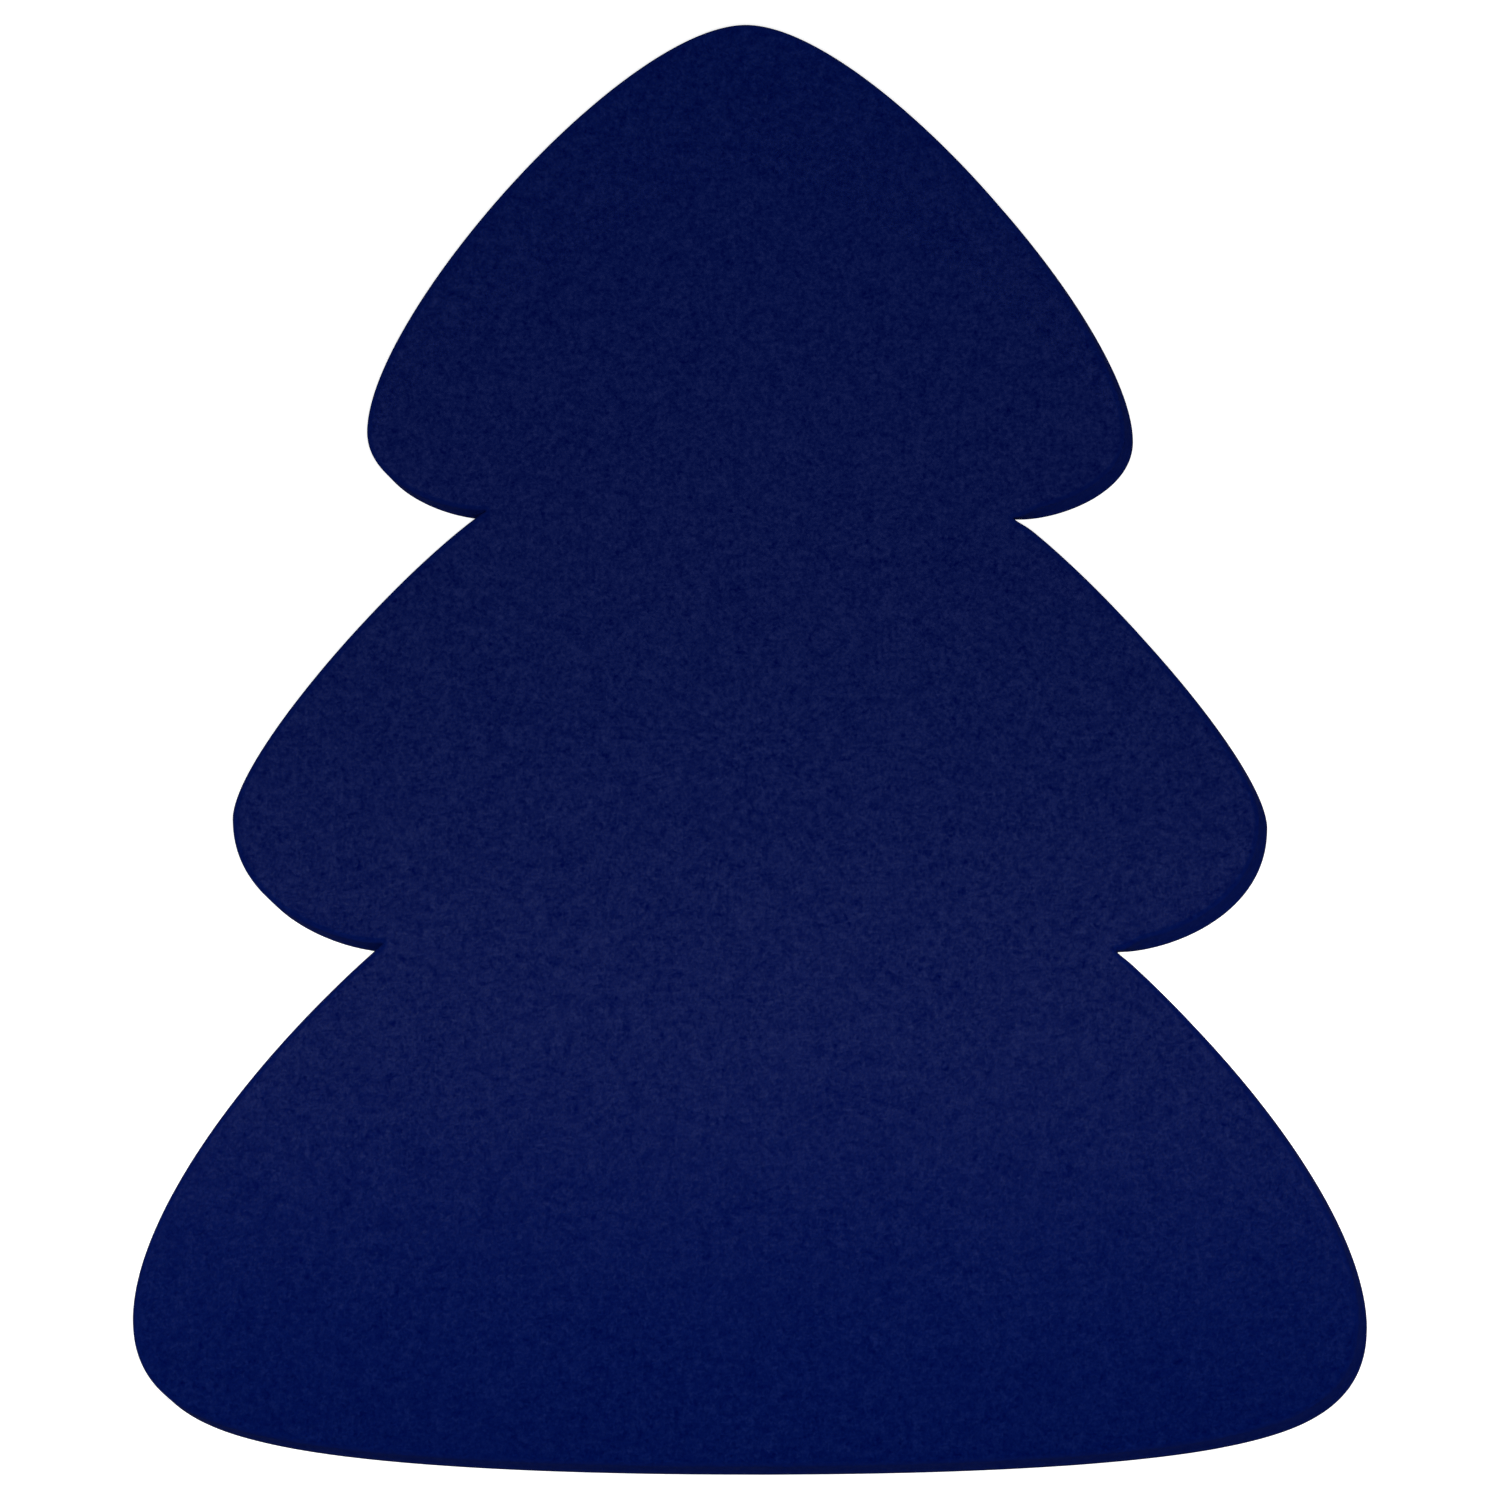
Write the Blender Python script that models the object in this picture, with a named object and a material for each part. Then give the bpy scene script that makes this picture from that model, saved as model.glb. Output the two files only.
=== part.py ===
"""Felt christmas tree: a flat cut-out of thick felt, in the outline of a tree with three tiers.

It lies on its back in the XY plane. +Y points to the top of the tree and +Z out of its front
face. The origin is the middle of the outline's box, on the face that it lies on. Each tier is a
flank that swings out to a round tip and a hem that returns to the waist below. The two sides
mirror each other, and one cut runs round them all. The cut leans: the front face is the same
outline as the back one, moved up and to the left, so that the cut wall faces a little upwards
along the lower right. Its two edges are pressed soft.
"""

from math import cos, radians, sin, tan
from typing import NamedTuple

import bmesh
import bpy
from mathutils import Vector
from mathutils.geometry import interpolate_bezier

MM = 0.001

# The sheet of felt and the rounds of its cut edge
FELT_THICKNESS = 5 * MM
FRONT_ROUND = 0.8 * MM
BACK_ROUND = 0.4 * MM

# How far the front face sits from the back one: both are zero for a plumb cut
LEAN_LEFT = 2.5 * MM
LEAN_UP = 2.6 * MM

# Heights are measured up from the lowest point of the hem, and reaches out from the middle
TREE_HEIGHT = 400 * MM
TOP_TIP_HEIGHT = 287 * MM
MIDDLE_TIP_HEIGHT = 179.5 * MM
BOTTOM_TIP_HEIGHT = 40.6 * MM
TOP_TIP_REACH = 105.1 * MM
MIDDLE_TIP_REACH = 142.4 * MM
BOTTOM_TIP_REACH = 170.1 * MM
UPPER_WAIST_HEIGHT = 265.4 * MM
LOWER_WAIST_HEIGHT = 145.2 * MM
UPPER_WAIST_REACH = 71.8 * MM
LOWER_WAIST_REACH = 100.5 * MM
FOOT_CORNER_HEIGHT = 8.3 * MM
FOOT_CORNER_REACH = 133.7 * MM

# Radius that the knife leaves at the bottom of a waist
WAIST_RADIUS = 0.2 * MM

# Slopes below the level, in degrees, of a flank where it leaves a waist, and of a hem there
MIDDLE_FLANK_SLOPE = 34.8
BOTTOM_FLANK_SLOPE = 41.2
TOP_HEM_SLOPE = -2.1
MIDDLE_HEM_SLOPE = -0.5
FOOT_CORNER_SLOPE = 12.4

# How far a curve runs on straight from its first and last point, as shares of what it spans
TOP_FLANK_SHARES = (0.22, 0.207)
MIDDLE_FLANK_SHARES = (0.273, 0.157)
BOTTOM_FLANK_SHARES = (0.402, 0.225)
TOP_HEM_SHARES = (0.364, 0.305)
MIDDLE_HEM_SHARES = (0.459, 0.243)
FOOT_CORNER_SHARES = (0.455, 0.363)
FOOT_HEM_SHARES = (0.194, 0.449)

# Steps that each kind of curve is cut into
FLANK_STEPS = 26
HEM_STEPS = 14
WAIST_STEPS = 6
FRONT_ROUND_STEPS = 5
BACK_ROUND_STEPS = 3

# Angle between two faces above which the edge between them shades as a crease
CREASE_ANGLE = 40

FELT_COLOUR = (0.0024, 0.006, 0.068, 1)
FELT_ROUGHNESS = 0.95

DOWN = 90
LEVEL = 0


class Tier(NamedTuple):
    """One tier: where its tip is, how its flank and its hem run, and the waist that it ends in."""

    tip_reach: float
    tip_height: float
    flank_slope: float
    flank_shares: tuple
    hem_slope: float
    hem_shares: tuple
    waist_reach: float
    waist_height: float
    next_flank_slope: float


TOP_TIER = Tier(
    tip_reach=TOP_TIP_REACH,
    tip_height=TOP_TIP_HEIGHT,
    flank_slope=LEVEL,
    flank_shares=TOP_FLANK_SHARES,
    hem_slope=TOP_HEM_SLOPE,
    hem_shares=TOP_HEM_SHARES,
    waist_reach=UPPER_WAIST_REACH,
    waist_height=UPPER_WAIST_HEIGHT,
    next_flank_slope=MIDDLE_FLANK_SLOPE,
)
MIDDLE_TIER = Tier(
    tip_reach=MIDDLE_TIP_REACH,
    tip_height=MIDDLE_TIP_HEIGHT,
    flank_slope=MIDDLE_FLANK_SLOPE,
    flank_shares=MIDDLE_FLANK_SHARES,
    hem_slope=MIDDLE_HEM_SLOPE,
    hem_shares=MIDDLE_HEM_SHARES,
    waist_reach=LOWER_WAIST_REACH,
    waist_height=LOWER_WAIST_HEIGHT,
    next_flank_slope=BOTTOM_FLANK_SLOPE,
)


def clear_scene():
    for old in list(bpy.data.objects):
        bpy.data.objects.remove(old)


def outwards(slope):
    """The direction that leads away from the middle of the tree, down by slope degrees."""
    return Vector((cos(radians(slope)), -sin(radians(slope))))


def inwards(slope):
    return Vector((-cos(radians(slope)), -sin(radians(slope))))


def curve(start, start_way, end, end_way, shares, steps):
    """Points of one smooth curve from start, and all but its last one."""
    span = (end - start).length
    start_handle = start + start_way * span * shares[0]
    end_handle = end - end_way * span * shares[1]
    return interpolate_bezier(start, start_handle, end_handle, end, steps + 1)[:-1]


def waist(corner, hem_slope, flank_slope):
    """The small round between a hem and the flank below it, in points from the one to the other."""
    half_opening = radians(hem_slope + flank_slope) / 2
    run = WAIST_RADIUS / tan(half_opening)
    hem_end = corner - inwards(hem_slope) * run
    centre = hem_end + Vector((sin(radians(hem_slope)), -cos(radians(hem_slope)))) * WAIST_RADIUS
    first = 90 + hem_slope
    last = 270 - flank_slope
    turns = [radians(first + (last - first) * k / WAIST_STEPS) for k in range(WAIST_STEPS + 1)]
    return [centre + Vector((cos(turn), sin(turn))) * WAIST_RADIUS for turn in turns]


def tier_points(tier, start):
    """Flank, tip and hem of a tier, and its waist where the last point starts the next flank."""
    tip = Vector((tier.tip_reach, tier.tip_height))
    corner = Vector((tier.waist_reach, tier.waist_height))
    round_points = waist(corner, tier.hem_slope, tier.next_flank_slope)
    flank = curve(
        start, outwards(tier.flank_slope), tip, outwards(DOWN), tier.flank_shares, FLANK_STEPS
    )
    hem = curve(
        tip, inwards(DOWN), round_points[0], inwards(tier.hem_slope), tier.hem_shares, HEM_STEPS
    )
    return flank + hem + round_points[:-1], round_points[-1]


def foot_points(start):
    """The bottom tier: its flank, its round corner and its long shallow hem, to the middle."""
    tip = Vector((BOTTOM_TIP_REACH, BOTTOM_TIP_HEIGHT))
    corner = Vector((FOOT_CORNER_REACH, FOOT_CORNER_HEIGHT))
    middle = Vector((0, 0))
    corner_way = inwards(FOOT_CORNER_SLOPE)
    flank = curve(
        start, outwards(BOTTOM_FLANK_SLOPE), tip, outwards(DOWN), BOTTOM_FLANK_SHARES, FLANK_STEPS
    )
    turn = curve(tip, inwards(DOWN), corner, corner_way, FOOT_CORNER_SHARES, HEM_STEPS)
    hem = curve(corner, corner_way, middle, inwards(LEVEL), FOOT_HEM_SHARES, HEM_STEPS)
    return flank + turn + hem + [middle]


def side_points():
    """One side of the outline from the top point down to the middle of the hem, as (reach, height)."""
    top_tier, upper_waist = tier_points(TOP_TIER, Vector((0, TREE_HEIGHT)))
    middle_tier, lower_waist = tier_points(MIDDLE_TIER, upper_waist)
    return top_tier + middle_tier + foot_points(lower_waist)


def outline():
    """The whole cut, anticlockwise as seen from the front."""
    left = [(-reach, height) for reach, height in side_points()]
    right = [(reach, height) for reach, height in side_points()]
    return left + right[-2:0:-1]


def round_edge(shape, face, radius, steps):
    """Draws a face in and pushes it out step by step, so that its edge becomes a quarter round."""
    turns = [radians(90 * k / steps) for k in range(steps + 1)]
    for before, after in zip(turns, turns[1:]):
        bmesh.ops.inset_region(
            shape,
            faces=[face],
            use_boundary=True,
            use_even_offset=True,
            thickness=radius * (cos(before) - cos(after)),
            depth=radius * (sin(after) - sin(before)),
        )


def felt_mesh():
    """The back outline, drawn up along the lean to the front one, with both edges rounded."""
    shape = bmesh.new()
    low = BACK_ROUND
    high = FELT_THICKNESS - FRONT_ROUND
    right = LEAN_LEFT / 2
    down = TREE_HEIGHT / 2 + LEAN_UP / 2
    loop = [shape.verts.new((x + right, height - down, low)) for x, height in outline()]
    back = shape.faces.new(loop[::-1])
    made = bmesh.ops.extrude_face_region(shape, geom=[back], use_keep_orig=True)
    raised = [item for item in made["geom"] if isinstance(item, bmesh.types.BMVert)]
    front = next(item for item in made["geom"] if isinstance(item, bmesh.types.BMFace))
    bmesh.ops.translate(shape, verts=raised, vec=(-LEAN_LEFT, LEAN_UP, high - low))
    bmesh.ops.recalc_face_normals(shape, faces=shape.faces)
    round_edge(shape, front, FRONT_ROUND, FRONT_ROUND_STEPS)
    round_edge(shape, back, BACK_ROUND, BACK_ROUND_STEPS)
    bmesh.ops.recalc_face_normals(shape, faces=shape.faces)
    mesh = bpy.data.meshes.new("felt_tree")
    shape.to_mesh(mesh)
    shape.free()
    mesh.shade_smooth()
    mesh.set_sharp_from_angle(angle=radians(CREASE_ANGLE))
    return mesh


def felt_material():
    material = bpy.data.materials.new("navy_felt")
    material.use_nodes = True
    surface = material.node_tree.nodes["Principled BSDF"]
    surface.inputs["Base Color"].default_value = FELT_COLOUR
    surface.inputs["Roughness"].default_value = FELT_ROUGHNESS
    surface.inputs["Metallic"].default_value = 0
    material.diffuse_color = FELT_COLOUR
    return material


def felt_tree():
    mesh = felt_mesh()
    mesh.materials.append(felt_material())
    tree = bpy.data.objects.new("felt_tree", mesh)
    bpy.context.scene.collection.objects.link(tree)
    return tree


clear_scene()
felt_tree()
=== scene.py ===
"""Felt christmas tree, dressed: a die-cut sheet of thick navy felt on a white table.

Every length is in metres. The tree lies in the XY plane with its top towards +Y and its front
face towards +Z, in the place of the solid that carries it.
"""

import math
from typing import NamedTuple

import bpy
import numpy as np
from bpy.props import FloatProperty, FloatVectorProperty, PointerProperty
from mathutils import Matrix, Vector, noise
from mathutils.geometry import delaunay_2d_cdt


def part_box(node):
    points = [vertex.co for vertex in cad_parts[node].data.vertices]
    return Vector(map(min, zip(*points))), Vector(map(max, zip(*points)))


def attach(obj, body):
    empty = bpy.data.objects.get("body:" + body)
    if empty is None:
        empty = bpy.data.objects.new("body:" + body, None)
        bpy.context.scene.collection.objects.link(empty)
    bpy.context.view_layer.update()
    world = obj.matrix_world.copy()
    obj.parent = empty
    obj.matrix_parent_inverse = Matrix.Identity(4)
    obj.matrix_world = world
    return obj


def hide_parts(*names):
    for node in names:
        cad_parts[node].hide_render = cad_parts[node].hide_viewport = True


bl_info = {
    "name": "Felt Christmas Tree",
    "version": (1, 0, 0),
    "blender": (4, 5, 0),
    "location": "3D View > Sidebar > Felt Tree",
    "description": "Dresses the solid of a felt christmas tree as real felt, in a plain studio",
    "category": "Add Mesh",
}

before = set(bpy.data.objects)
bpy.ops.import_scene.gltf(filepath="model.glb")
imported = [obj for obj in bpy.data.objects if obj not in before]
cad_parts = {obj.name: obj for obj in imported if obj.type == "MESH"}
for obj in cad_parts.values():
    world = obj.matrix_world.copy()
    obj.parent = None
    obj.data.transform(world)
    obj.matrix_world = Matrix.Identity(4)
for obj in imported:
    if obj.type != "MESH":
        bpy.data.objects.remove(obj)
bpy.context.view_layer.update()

NODE = "felt_tree"
BODY = "root"
MM = 0.001

TREE_LOW, TREE_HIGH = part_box(NODE)
TREE_LENGTH = TREE_HIGH[1] - TREE_LOW[1]
FELT_THICKNESS = TREE_HIGH[2] - TREE_LOW[2]

# The photograph's side, and the tree's length in it, in pixels
PHOTO_SIDE = 1500
TREE_IN_PHOTO = 1450

# How far the camera stands from the middle of the tree's box, along X and Y
CAMERA_ASIDE = (-0.08 * MM, 0.08 * MM)
CAMERA_CLIP_START = 0.05

# Decimals to which the solid's points and heights are rounded, in metres, and how far off its
# ring's height a point may be
POINT_DECIMALS = 7
HEIGHT_DECIMALS = 6
RING_TOLERANCE = 0.01 * MM

# Rings of points round the cut: on its leaning wall, and on its back and front rounds
WALL_RINGS = 7
BACK_ROUND_RINGS = 3
FRONT_ROUND_RINGS = 6

# Rings of the front round over which the cut's colour and painted sheen give way to the face's
CUT_FADE_RINGS = 3

# The share of its lean that the wall has where it faces up the most, because the edge above it is
# softer there, and the points of the cut on either side over which the share is evened out
SEEN_LEAN = 0.88
LEAN_BLEND_POINTS = 6

# The wall's lean beside the right-hand notches: its least share, how far from a notch it is whole
# again, and the sine of the turn by which a point of the cut counts as a notch's
NOTCH_LEAN = 0.2
NOTCH_REACH = 10 * MM
NOTCH_TURN = -0.08

# The points inside a face: their seeds, and as shares of the step between them, how far they are
# out of line and how clear of the cut they stay
FRONT_SEED = 3
BACK_SEED = 4
SCATTER_SHARE = 0.22
CLEAR_SHARE = 0.6

# How a face is cut into triangles: only inside its edge, and with points this near as one
TRIANGLES_INSIDE = 1
SAME_POINT = 1e-9


class Wave(NamedTuple):
    """Waves of the felt: their share of the lift, how many to the metre, and their start."""

    share: float
    rate: tuple
    start: tuple


WAVE_MIDDLE = 0.42
WAVES = (
    Wave(share=0.75, rate=(3.1, 3.4), start=(-5.2, 2.2, 7.9)),
    Wave(share=0.35, rate=(7, 6), start=(3.1, -1.7, 0.4)),
)

# The lumps that felting leaves: their widths, their shares, and the start of the fine ones
COARSE_LUMP = 6 * MM
FINE_LUMP = 3 * MM
COARSE_LUMP_SHARE = 0.9
FINE_LUMP_SHARE = 0.5
FINE_LUMP_START = (31, 7, 3)


class Grain(NamedTuple):
    """Grain in the felt's colour: how many waves to a clump's width, and their form."""

    rate: float
    detail: float
    roughness: float
    distortion: float = 0.0


CLUMPS = Grain(rate=0.55, detail=2.0, roughness=0.65)
FIBRES = Grain(rate=1.15, detail=1.0, roughness=0.5, distortion=0.6)
CLOUDS = Grain(rate=0.09, detail=2.0, roughness=0.5)
CLOUD_SHARE = 0.06

# The middle of the three grains' sum, and of the range of colours
GRAIN_MIDDLE = 1.03
COLOUR_MIDDLE = 0.5

# Depth and strength of the nap's relief
NAP_DEPTH = 0.2 * MM
NAP_STRENGTH = 0.5

# The gloss is a colour's place in the range, times the first number, less the second
GLOSS_RISE = 2.3
GLOSS_DROP = 0.15
GLOSS_ROUGHNESS = 0.224

# Roughness at the dark end of the range of colours, and how much less it is at the light end
DARK_ROUGHNESS = 0.97
ROUGHNESS_DROP = 0.14

# A mix node's sockets: its factor, its two plain numbers and its two colours
MIX_FACTOR = 0
MIX_NUMBER_A, MIX_NUMBER_B = 2, 3
MIX_COLOUR_A, MIX_COLOUR_B = 6, 7

WHITE = (1, 1, 1, 1)

# The table: half its side, how far below the felt it lies, its paint and its glow
TABLE_HALF = 20.0
TABLE_DROP = 0.1 * MM
TABLE_PAINT = (0.8, 0.8, 0.8, 1)
TABLE_GLOW = 0.62


class BoxLamp(NamedTuple):
    """A box lamp over the tree.

    It hangs this far up the tree and this high, in metres. Its beam's width and its tilt towards
    the tree's foot are in degrees.
    """

    name: str
    along: float
    height: float
    size: tuple
    spread: float
    tilt: float = 0.0


KEY_BOX = BoxLamp("key_box", along=0.109, height=1.8, size=(1.2, 0.265), spread=94.8)
MIDDLE_BOX = BoxLamp("middle_box", along=-0.048, height=0.9, size=(1.4, 0.196), spread=103)
LOW_BOX = BoxLamp("low_box", along=-0.092, height=0.7, size=(1.4, 0.112), spread=28.9, tilt=3.2)


class FeltSettings(bpy.types.PropertyGroup):
    """What the felt is like."""

    cut_step: FloatProperty(
        name="Cut step",
        description="Longest distance between two points along the cut edge",
        default=0.9 * MM,
        unit="LENGTH",
    )
    front_step: FloatProperty(
        name="Front step",
        description="Distance between two points of the front face",
        default=1.5 * MM,
        unit="LENGTH",
    )
    back_step: FloatProperty(
        name="Back step",
        description="Distance between two points of the back face",
        default=2.8 * MM,
        unit="LENGTH",
    )
    soft_edge: FloatProperty(
        name="Soft edge",
        description="How far the front face's soft edge reaches in from the cut",
        default=1.7 * MM,
        unit="LENGTH",
    )
    lift: FloatProperty(
        name="Lift",
        description="How far the felt's gentle waves rise off the table",
        default=0.12 * MM,
        unit="LENGTH",
    )
    unevenness: FloatProperty(
        name="Unevenness",
        description="Depth of the lumps that felting leaves in the faces",
        default=0.01 * MM,
        unit="LENGTH",
    )
    dark: FloatVectorProperty(
        name="Dark wool",
        description="Colour between the clumps of fibre",
        default=(0.0, 0.0019, 0.0523),
        subtype="COLOR",
    )
    wool: FloatVectorProperty(
        name="Wool",
        description="Colour of most of the felt",
        default=(0.0001, 0.0050, 0.0730),
        subtype="COLOR",
    )
    light: FloatVectorProperty(
        name="Light wool",
        description="Colour on top of the clumps of fibre",
        default=(0.0028, 0.0099, 0.0942),
        subtype="COLOR",
    )
    # Lighter than the wool: partly the cut fibre ends' own colour, partly a painted sheen on the
    # wall
    cut_wool_and_sheen: FloatVectorProperty(
        name="Cut wool",
        description="Colour of the cut ends of the fibres, on the wall",
        default=(0.0021, 0.0069, 0.0785),
        subtype="COLOR",
    )
    clump: FloatProperty(
        name="Clump",
        description="Width of a clump of fibre",
        default=1.1 * MM,
        unit="LENGTH",
    )
    mottle: FloatProperty(
        name="Mottle",
        description="How much the clumps of fibre differ in colour",
        default=1.1,
    )
    # Evens the wall towards the cut wool, and so brings in its painted sheen
    cut_evenness: FloatProperty(
        name="Cut evenness",
        description="How far the cut wall has the even colour of the fibres' cut ends",
        default=0.7,
    )
    gloss: FloatProperty(
        name="Gloss",
        description="Strength of the faint gloss on the pressed fibres",
        default=0.0106,
    )


class StudioSettings(bpy.types.PropertyGroup):
    """How high the camera is, and how strong the light is."""

    camera_height: FloatProperty(
        name="Camera height",
        description="Height of the camera above the table",
        default=3.0,
        unit="LENGTH",
    )
    key_power: FloatProperty(
        name="Key power",
        description="Power of the soft box overhead",
        default=2.35,
        unit="POWER",
    )
    middle_power: FloatProperty(
        name="Middle power",
        description="Power of the strip box over the middle of the tree",
        default=1.275,
        unit="POWER",
    )
    low_power: FloatProperty(
        name="Low power",
        description="Power of the strip box with a grid over the lower half of the tree",
        default=0.213,
        unit="POWER",
    )
    fill: FloatProperty(
        name="Fill",
        description="Strength of the light that comes from all round",
        default=0.243,
    )


def felt_settings():
    return bpy.context.scene.felt_tree_felt


def studio_settings():
    return bpy.context.scene.felt_tree_studio


def ring_area(ring):
    """The area inside a closed (x, y) ring, above zero where the ring runs anticlockwise."""
    following = np.roll(ring, -1, axis=0)
    return float((ring[:, 0] * following[:, 1] - ring[:, 1] * following[:, 0]).sum()) / 2


def ring_at(points, pairs, height):
    """The closed ring of a solid's edges at one height, as ordered anticlockwise (x, y) points."""
    on_ring = np.abs(points[:, 2] - height) < RING_TOLERANCE
    neighbours = {}
    for a, b in pairs:
        if on_ring[a] and on_ring[b]:
            neighbours.setdefault(a, set()).add(b)
            neighbours.setdefault(b, set()).add(a)
    before, here = None, min(neighbours)
    path = []
    while here not in path[:1]:
        path.append(here)
        before, here = here, min(neighbours[here] - {before})
    ring = points[path][:, :2]
    return ring if ring_area(ring) > 0 else ring[::-1]


def cut_wall():
    """The cut's path along the back of its wall, the wall's lean as (x, y), and its two heights."""
    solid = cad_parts[NODE].data
    corners = np.round([vertex.co[:] for vertex in solid.vertices], POINT_DECIMALS)
    points, which = np.unique(corners, axis=0, return_inverse=True)
    which = which.reshape(-1)
    pairs = {tuple(sorted(which[list(edge.vertices)])) for edge in solid.edges}
    heights = np.unique(np.round(points[:, 2], HEIGHT_DECIMALS))
    wall = int(np.argmax(np.diff(heights)))
    low, high = float(heights[wall]), float(heights[wall + 1])
    back = ring_at(points, pairs, low)
    front = ring_at(points, pairs, high)
    return back, front.mean(axis=0) - back.mean(axis=0), low, high


def smooth_path(path, step):
    """The path again on a smooth curve through its points, none further apart than step."""
    made = []
    count = len(path)
    for i in range(count):
        a, b, c, d = (path[(i + k) % count] for k in (-1, 0, 1, 2))
        span = np.linalg.norm(c - b)
        out_way = (c - a) / np.linalg.norm(c - a) * span
        in_way = (d - b) / np.linalg.norm(d - b) * span
        pieces = max(1, math.ceil(span / step))
        for k in range(pieces):
            t = k / pieces
            made.append(
                (2 * t**3 - 3 * t**2 + 1) * b
                + (t**3 - 2 * t**2 + t) * out_way
                + (3 * t**2 - 2 * t**3) * c
                + (t**3 - t**2) * in_way
            )
    return np.array(made)


def inward_ways(path):
    """At each point of an anticlockwise path, the way into the felt, square to the cut."""
    along = np.roll(path, -1, axis=0) - np.roll(path, 1, axis=0)
    along /= np.linalg.norm(along, axis=1)[:, None]
    return np.stack([-along[:, 1], along[:, 0]], axis=1)


def seen_lean(path, lean):
    """The share of the wall's lean at each point of the cut: less where the wall faces up."""
    faces_up = np.clip(inward_ways(path) @ (lean / np.linalg.norm(lean)), 0, 1)
    shares = np.pad(1 - (1 - SEEN_LEAN) * faces_up, LEAN_BLEND_POINTS, mode="wrap")
    weights = np.hanning(2 * LEAN_BLEND_POINTS + 3)[1:-1]
    return np.convolve(shares, weights / weights.sum(), "valid")


def notch_lean(path):
    """The share of the wall's lean at each point of the cut: less by the right-hand notches."""
    along = np.roll(path, -1, axis=0) - path
    along /= np.linalg.norm(along, axis=1)[:, None]
    before = np.roll(along, 1, axis=0)
    turn = before[:, 0] * along[:, 1] - before[:, 1] * along[:, 0]
    notches = path[(turn < NOTCH_TURN) & (path[:, 0] > 0)]
    gaps = np.linalg.norm(path[:, None] - notches[None], axis=2).min(axis=1)
    near = np.clip(1 - gaps / NOTCH_REACH, 0, 1)
    return 1 - (1 - NOTCH_LEAN) * near**2 * (3 - 2 * near)


def inside(points, path):
    """Which points lie inside a closed path."""
    found = np.zeros(len(points), bool)
    x, y = points[:, 0], points[:, 1]
    for (ax, ay), (bx, by) in zip(path, np.roll(path, -1, axis=0)):
        if ay == by:
            continue
        crosses = (ay > y) != (by > y)
        found ^= crosses & (x < (bx - ax) * (y - ay) / (by - ay) + ax)
    return found


def face_points(path, step, seed):
    """Points all over a face, on staggered rows and a little out of line, clear of its edge."""
    rng = np.random.default_rng(seed)
    low, high = path.min(axis=0), path.max(axis=0)
    places = []
    for k, y in enumerate(np.arange(low[1], high[1], step * math.sqrt(3) / 2)):
        xs = np.arange(low[0] + (k % 2) * step / 2, high[0], step)
        places.append(np.stack([xs, np.full(len(xs), y)], axis=1))
    places = np.concatenate(places)
    places += rng.uniform(-SCATTER_SHARE, SCATTER_SHARE, places.shape) * step
    places = places[inside(places, path)]
    near = {}
    for x, y in path:
        near.setdefault((int(x // step), int(y // step)), []).append((x, y))

    def clear(x, y):
        column, row = int(x // step), int(y // step)
        cells = [near.get((column + dx, row + dy), ()) for dx in (-1, 0, 1) for dy in (-1, 0, 1)]
        nearby = [point for cell in cells for point in cell]
        return all(math.hypot(px - x, py - y) > CLEAR_SHARE * step for px, py in nearby)

    return places[[clear(x, y) for x, y in places]]


def filled_face(path, step, seed):
    """(points, triangles) of the flat face inside a path; the first points are the path's own."""
    count = len(path)
    points = np.concatenate([path, face_points(path, step, seed)])
    edge = [(i, (i + 1) % count) for i in range(count)]
    corners = [Vector(point) for point in points.tolist()]
    made, _, triangles, *_ = delaunay_2d_cdt(corners, edge, [], TRIANGLES_INSIDE, SAME_POINT)
    if len(made) != len(points):
        raise RuntimeError("some of the face's points fell together")
    return np.array([corner[:] for corner in made]), triangles


def quarter_round(steps, reach, rise):
    """Steps of a quarter round, as (how far in, how far up), from the wall to the face."""
    turns = [math.pi / 2 * k / steps for k in range(steps + 1)]
    return [(reach * (1 - math.cos(turn)), rise * math.sin(turn)) for turn in turns]


def cut_rings(felt, wall_low, wall_high):
    """The cut's rings, from the back face to the front one: (inset, height, share of the lean)."""
    rings = []
    for inset, drop in reversed(quarter_round(BACK_ROUND_RINGS, wall_low, wall_low)):
        rings.append((inset, wall_low - drop, 0.0))
    for k in range(1, WALL_RINGS):
        share = k / WALL_RINGS
        rings.append((0.0, wall_low + (wall_high - wall_low) * share, share))
    top_round = FELT_THICKNESS - wall_high
    for inset, rise in quarter_round(FRONT_ROUND_RINGS, felt.soft_edge, top_round):
        rings.append((inset, wall_high + rise, 1.0))
    return rings


def lifted(points, height):
    """Flat (x, y) points at one height."""
    return np.column_stack([points, np.full(len(points), height)])


def band_faces(rings, count):
    """Four-sided faces between each ring of points round the cut and the next one."""
    faces = []
    for below in range(0, (rings - 1) * count, count):
        above = below + count
        for i in range(count):
            j = (i + 1) % count
            faces.append((below + i, below + j, above + j, above + i))
    return faces


def mark_cut(mesh, rings, count):
    """Stores how far each point has the cut's colour and painted sheen: 1 on the wall, 0 on the
    face.
    """
    to_face = np.arange(rings)[::-1]
    on_cut = np.zeros(len(mesh.vertices))
    on_cut[: rings * count] = np.repeat(np.minimum(1.0, to_face / CUT_FADE_RINGS), count)
    mesh.attributes.new("cut", "FLOAT", "POINT").data.foreach_set("value", on_cut)


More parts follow.
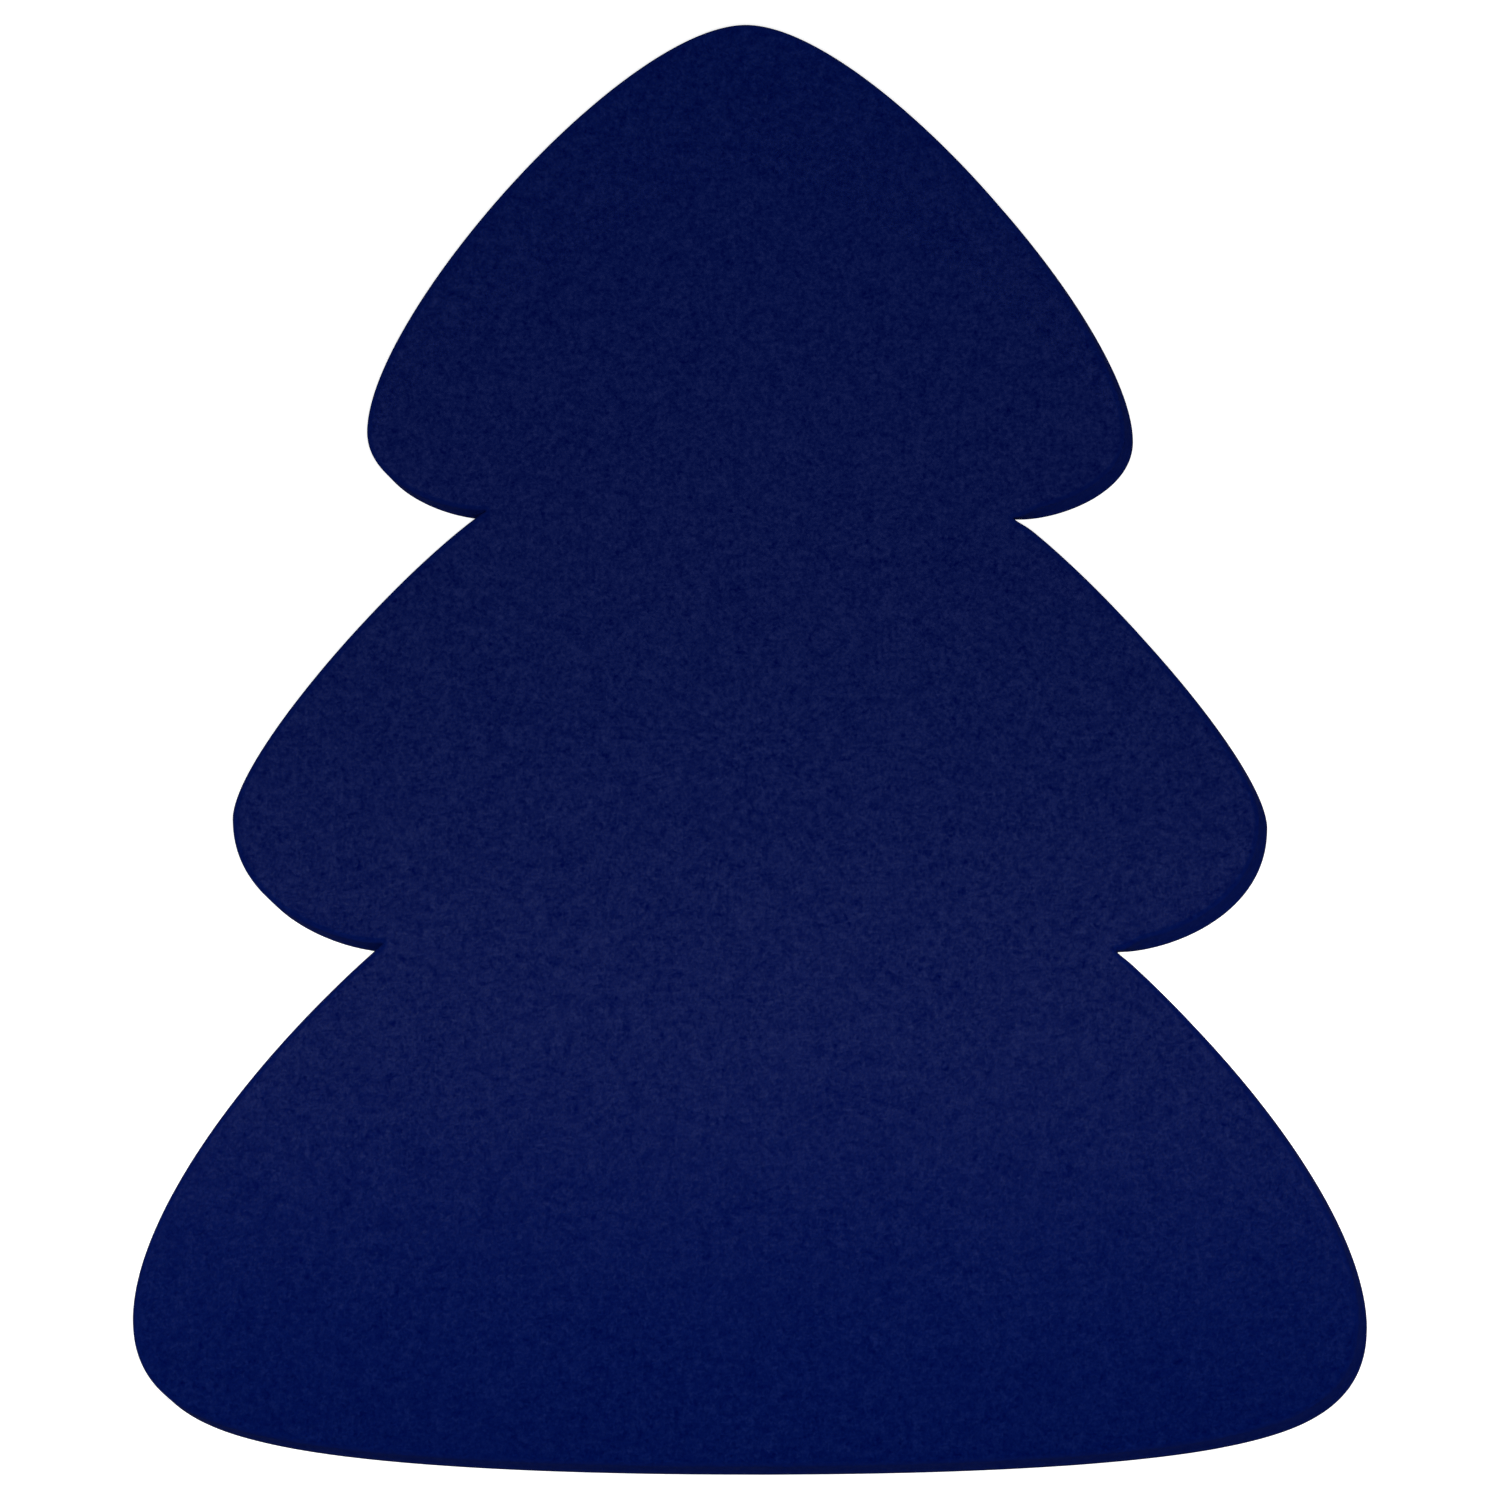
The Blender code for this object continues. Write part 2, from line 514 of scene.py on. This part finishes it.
def sheet_mesh(felt, back_path, lean, wall_low, wall_high):
    """The felt as one closed skin: its back face, its cut with both rounds, and its front face."""
    path = smooth_path(back_path, felt.cut_step)
    ways = inward_ways(path)
    count = len(path)
    rings = cut_rings(felt, wall_low, wall_high)
    leans = lean * (seen_lean(path, lean) * notch_lean(path))[:, None]
    loops = [path + ways * inset + leans * share for inset, _, share in rings]
    cut = [lifted(loop, ring[1]) for loop, ring in zip(loops, rings)]
    back, back_triangles = filled_face(loops[0], felt.back_step, BACK_SEED)
    front, front_triangles = filled_face(loops[-1], felt.front_step, FRONT_SEED)
    back_inner = lifted(back[count:], rings[0][1])
    front_inner = lifted(front[count:], rings[-1][1])
    faces = band_faces(len(rings), count)
    top = (len(rings) - 1) * count
    for triangle in front_triangles:
        faces.append(tuple(top + v for v in triangle))
    behind = top + len(front_inner)
    for triangle in back_triangles:
        faces.append(tuple(v if v < count else behind + v for v in reversed(triangle)))
    mesh = bpy.data.meshes.new("felt_sheet")
    mesh.from_pydata(np.concatenate([*cut, front_inner, back_inner]).tolist(), [], faces)
    mesh.update()
    mark_cut(mesh, len(rings), count)
    return mesh


def wave(x, y):
    """Height of the felt's gentle waves at a point, from 0 to 1."""
    height = WAVE_MIDDLE
    for share, rate, start in WAVES:
        place = Vector((x * rate[0] + start[0], y * rate[1] + start[1], start[2]))
        height += share * noise.noise(place)
    return min(1.0, max(0.0, height))


def felt_lump(point):
    """Unevenness of the felted surface at a point, about -1 to 1."""
    coarse = noise.noise(point / COARSE_LUMP)
    fine = noise.noise(point / FINE_LUMP + Vector(FINE_LUMP_START))
    return COARSE_LUMP_SHARE * coarse + FINE_LUMP_SHARE * fine


def shape_sheet(mesh, felt):
    """Gives the flat skin its lumps and its waves, and stands it on the table."""
    normals = [vertex.normal.copy() for vertex in mesh.vertices]
    for vertex, normal in zip(mesh.vertices, normals):
        place = vertex.co.copy()
        lump = felt_lump(place)
        waved = felt.lift * wave(place.x, place.y)
        vertex.co = place + normal * felt.unevenness * lump + Vector((0, 0, waved))
    lowest = min(vertex.co.z for vertex in mesh.vertices)
    for vertex in mesh.vertices:
        vertex.co.z -= lowest
    mesh.update()
    mesh.shade_smooth()


class Nodes:
    """Builds a material's node tree, one short line a node."""

    def __init__(self, owner):
        owner.use_nodes = True
        self.tree = owner.node_tree
        self.tree.nodes.clear()

    def add(self, kind, values=(), **attributes):
        node = self.tree.nodes.new(kind)
        for name, value in attributes.items():
            setattr(node, name, value)
        for name, value in dict(values).items():
            if isinstance(value, bpy.types.NodeSocket):
                self.tree.links.new(value, node.inputs[name])
            else:
                node.inputs[name].default_value = value
        return node

    def math(self, operation, a, b=0.0):
        return self.add("ShaderNodeMath", {0: a, 1: b}, operation=operation).outputs[0]

    def grain(self, place, clump, grain):
        values = {
            "Vector": place,
            "Scale": grain.rate / clump,
            "Detail": grain.detail,
            "Roughness": grain.roughness,
            "Distortion": grain.distortion,
        }
        return self.add("ShaderNodeTexNoise", values).outputs["Fac"]

    def seen(self):
        """1 where the camera, a mirror or glass looks at the surface, 0 where light bounces."""
        path = self.add("ShaderNodeLightPath").outputs
        looked_at = self.math("MAXIMUM", path["Is Camera Ray"], path["Is Glossy Ray"])
        return self.math("MAXIMUM", looked_at, path["Is Transmission Ray"])


def felt_material(felt):
    """Navy wool felt: tangled fibres in small clumps, matt, faintly glossy where pressed, painted
    sheen on the cut.
    """
    material = bpy.data.materials.new("navy_felt_nap")
    nodes = Nodes(material)
    place = nodes.add("ShaderNodeTexCoord").outputs["Object"]
    clumps = nodes.grain(place, felt.clump, CLUMPS)
    fibres = nodes.grain(place, felt.clump, FIBRES)
    clouds = nodes.grain(place, felt.clump, CLOUDS)
    fine = nodes.math("ADD", clumps, fibres)
    mixed = nodes.math("ADD", fine, nodes.math("MULTIPLY", clouds, CLOUD_SHARE))
    spread = nodes.math("MULTIPLY", nodes.math("SUBTRACT", mixed, GRAIN_MIDDLE), felt.mottle)
    factor = nodes.math("ADD", spread, COLOUR_MIDDLE)
    face = nodes.add("ShaderNodeValToRGB", {"Fac": factor})
    stops = face.color_ramp.elements
    stops[0].color = (*felt.dark, 1)
    stops[1].color = (*felt.light, 1)
    stops.new(COLOUR_MIDDLE).color = (*felt.wool, 1)
    cut = nodes.add("ShaderNodeAttribute", attribute_name="cut").outputs["Fac"]
    # The wall leans to the lighter cut wool: the fibre ends' own colour plus a painted sheen like
    # the face's gloss
    colours = {
        MIX_FACTOR: nodes.math("MULTIPLY", cut, felt.cut_evenness),
        MIX_COLOUR_A: face.outputs[0],
        MIX_COLOUR_B: (*felt.cut_wool_and_sheen, 1),
    }
    colour = nodes.add("ShaderNodeMix", colours, data_type="RGBA")
    nap = {"Height": fine, "Distance": NAP_DEPTH, "Strength": NAP_STRENGTH}
    relief = nodes.add("ShaderNodeBump", nap)
    uneven = nodes.math("SUBTRACT", nodes.math("MULTIPLY", factor, GLOSS_RISE), GLOSS_DROP)
    glossy = nodes.math("MULTIPLY", nodes.math("MAXIMUM", uneven, 0.0), felt.gloss)
    smoother = nodes.math("MULTIPLY", factor, ROUGHNESS_DROP)
    surface = nodes.add(
        "ShaderNodeBsdfPrincipled",
        {
            "Base Color": colour.outputs[2],
            "Roughness": nodes.math("SUBTRACT", DARK_ROUGHNESS, smoother),
            "Specular IOR Level": 0.0,
            "Normal": relief.outputs[0],
            "Coat Weight": glossy,
            "Coat Roughness": GLOSS_ROUGHNESS,
        },
    )
    nodes.add("ShaderNodeOutputMaterial", {"Surface": surface.outputs[0]})
    return material


class FELTTREE_OT_sheet(bpy.types.Operator):
    """Cuts the sheet of felt along the solid's outline and dresses it as felt"""

    bl_idname = "felttree.sheet"
    bl_label = "Cut the Felt Sheet"

    def execute(self, context):
        felt = felt_settings()
        back_path, lean, wall_low, wall_high = cut_wall()
        mesh = sheet_mesh(felt, back_path, lean, wall_low, wall_high)
        shape_sheet(mesh, felt)
        mesh.materials.append(felt_material(felt))
        sheet = bpy.data.objects.new("felt_sheet", mesh)
        context.scene.collection.objects.link(sheet)
        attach(sheet, BODY)
        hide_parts(NODE)
        return {"FINISHED"}


def table_material():
    """White paint that glows for whoever looks at it, so that it reads as white."""
    material = bpy.data.materials.new("white_table")
    nodes = Nodes(material)
    paint = nodes.add("ShaderNodeBsdfDiffuse", {"Color": TABLE_PAINT})
    glow = nodes.add("ShaderNodeEmission", {"Color": WHITE, "Strength": TABLE_GLOW})
    both = nodes.add("ShaderNodeAddShader", {0: paint.outputs[0], 1: glow.outputs[0]})
    looks = {0: nodes.seen(), 1: paint.outputs[0], 2: both.outputs[0]}
    mixed = nodes.add("ShaderNodeMixShader", looks)
    nodes.add("ShaderNodeOutputMaterial", {"Surface": mixed.outputs[0]})
    return material


def add_table(context):
    """A white table that keeps the tree's shadow."""
    far = TABLE_HALF
    corners = [(-far, -far, 0), (far, -far, 0), (far, far, 0), (-far, far, 0)]
    mesh = bpy.data.meshes.new("white_table")
    mesh.from_pydata(corners, [], [(0, 1, 2, 3)])
    mesh.materials.append(table_material())
    table = bpy.data.objects.new("white_table", mesh)
    table.location.z = -TABLE_DROP
    context.scene.collection.objects.link(table)


def add_world(context, studio):
    """Even light from all round, which the camera and mirrors see as white."""
    world = bpy.data.worlds.new("studio_air")
    context.scene.world = world
    nodes = Nodes(world)
    levels = {MIX_FACTOR: nodes.seen(), MIX_NUMBER_A: studio.fill, MIX_NUMBER_B: 1.0}
    strength = nodes.add("ShaderNodeMix", levels, data_type="FLOAT").outputs[0]
    air = nodes.add("ShaderNodeBackground", {"Color": WHITE, "Strength": strength})
    nodes.add("ShaderNodeOutputWorld", {"Surface": air.outputs[0]})


def add_lamp(context, box, power):
    """Hangs a box lamp, which shines down and which no camera sees."""
    lamp = bpy.data.lights.new(box.name, "AREA")
    lamp.shape = "RECTANGLE"
    lamp.size, lamp.size_y = box.size
    lamp.spread = math.radians(box.spread)
    lamp.energy = power
    stand = bpy.data.objects.new(box.name, lamp)
    stand.location = (0, box.along, box.height)
    stand.rotation_euler.x = -math.radians(box.tilt)
    stand.visible_camera = False
    context.scene.collection.objects.link(stand)


def add_camera(context, studio):
    """A camera straight above the tree, which fills its view as it fills the photograph."""
    camera = bpy.data.cameras.new("camera")
    seen = TREE_LENGTH * PHOTO_SIDE / TREE_IN_PHOTO
    camera.lens = camera.sensor_width * (studio.camera_height - FELT_THICKNESS / 2) / seen
    camera.clip_start = CAMERA_CLIP_START
    stand = bpy.data.objects.new("camera", camera)
    stand.location = (*CAMERA_ASIDE, studio.camera_height)
    context.scene.collection.objects.link(stand)
    context.scene.camera = stand


class FELTTREE_OT_stage(bpy.types.Operator):
    """Lays out the white table, the soft studio light and the camera above the tree"""

    bl_idname = "felttree.stage"
    bl_label = "Set the Stage"

    def execute(self, context):
        studio = studio_settings()
        add_table(context)
        add_world(context, studio)
        add_lamp(context, KEY_BOX, studio.key_power)
        add_lamp(context, MIDDLE_BOX, studio.middle_power)
        add_lamp(context, LOW_BOX, studio.low_power)
        add_camera(context, studio)
        context.scene.view_settings.view_transform = "Standard"
        return {"FINISHED"}


class FELTTREE_PT_sidebar(bpy.types.Panel):
    """The steps that dress the tree, and the values that they use"""

    bl_idname = "FELTTREE_PT_sidebar"
    bl_label = "Felt Tree"
    bl_space_type = "VIEW_3D"
    bl_region_type = "UI"
    bl_category = "Felt Tree"

    def draw(self, context):
        for group in (felt_settings(), studio_settings()):
            for name in group.__annotations__:
                self.layout.prop(group, name)
        self.layout.operator("felttree.sheet")
        self.layout.operator("felttree.stage")


CLASSES = (
    FeltSettings,
    StudioSettings,
    FELTTREE_OT_sheet,
    FELTTREE_OT_stage,
    FELTTREE_PT_sidebar,
)


def register():
    for kind in CLASSES:
        bpy.utils.register_class(kind)
    bpy.types.Scene.felt_tree_felt = PointerProperty(type=FeltSettings)
    bpy.types.Scene.felt_tree_studio = PointerProperty(type=StudioSettings)


def unregister():
    del bpy.types.Scene.felt_tree_studio
    del bpy.types.Scene.felt_tree_felt
    for kind in reversed(CLASSES):
        bpy.utils.unregister_class(kind)


def main():
    register()
    bpy.ops.felttree.stage()
    bpy.ops.felttree.sheet()


if __name__ == "__main__":
    main()
